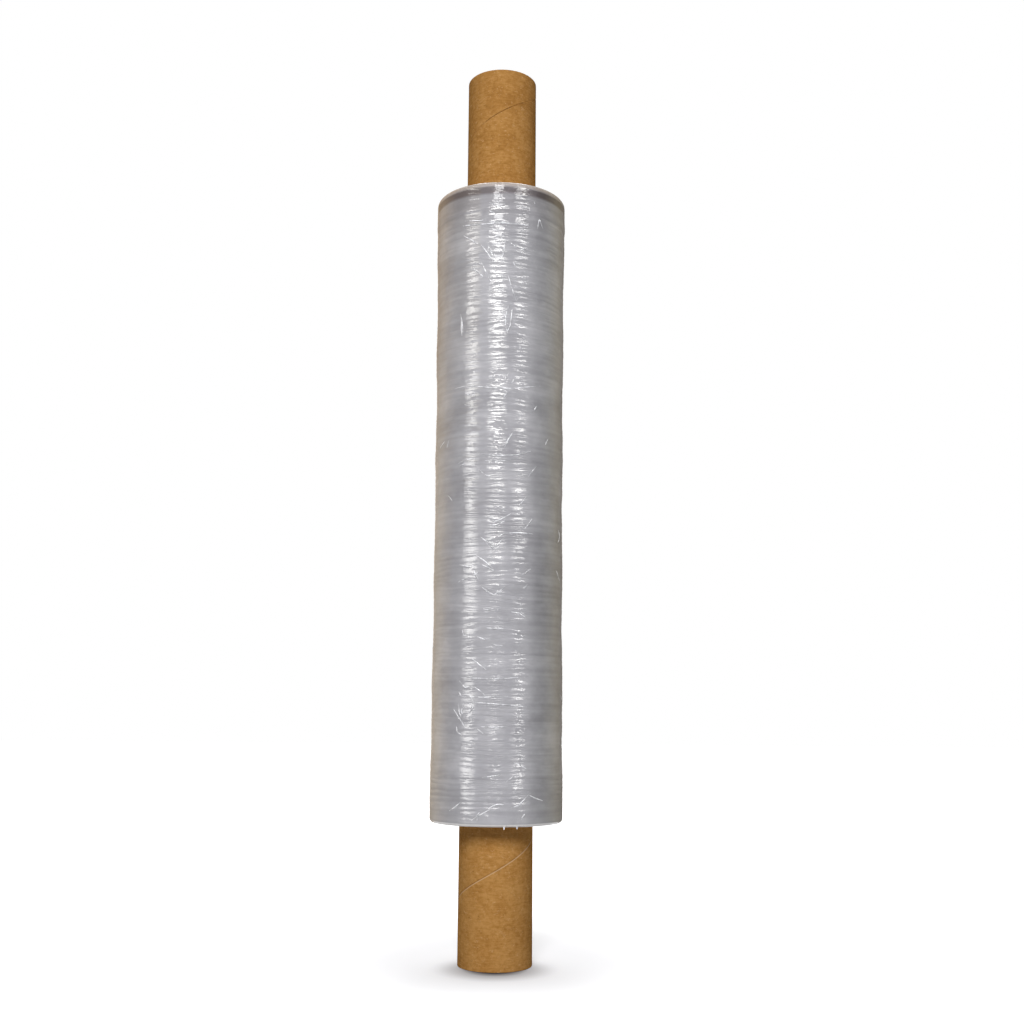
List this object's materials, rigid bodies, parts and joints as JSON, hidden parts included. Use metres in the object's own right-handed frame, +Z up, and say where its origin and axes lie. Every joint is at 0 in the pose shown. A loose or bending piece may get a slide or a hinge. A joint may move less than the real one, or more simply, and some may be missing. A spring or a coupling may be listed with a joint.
{
  "type": "stretch wrap roll",
  "caption": "Roll of clear stretch film wound on a long kraft paper core whose bare ends stand out as hand grips.",
  "frame": {"origin": "centre of the lower end of the paper core, on the surface the roll stands on", "axes": "+Z up along the core; -Y is the side that the picture shows, and +X is to its right"},
  "size_m": [0.1073, 0.1074, 0.726],
  "materials": {
    "kraft_board": "matte",
    "clear_film": "gloss"
  },
  "bodies": {
    "root": {"core_tube": "kraft_board", "film_roll": "clear_film"}
  },
  "joints": []
}
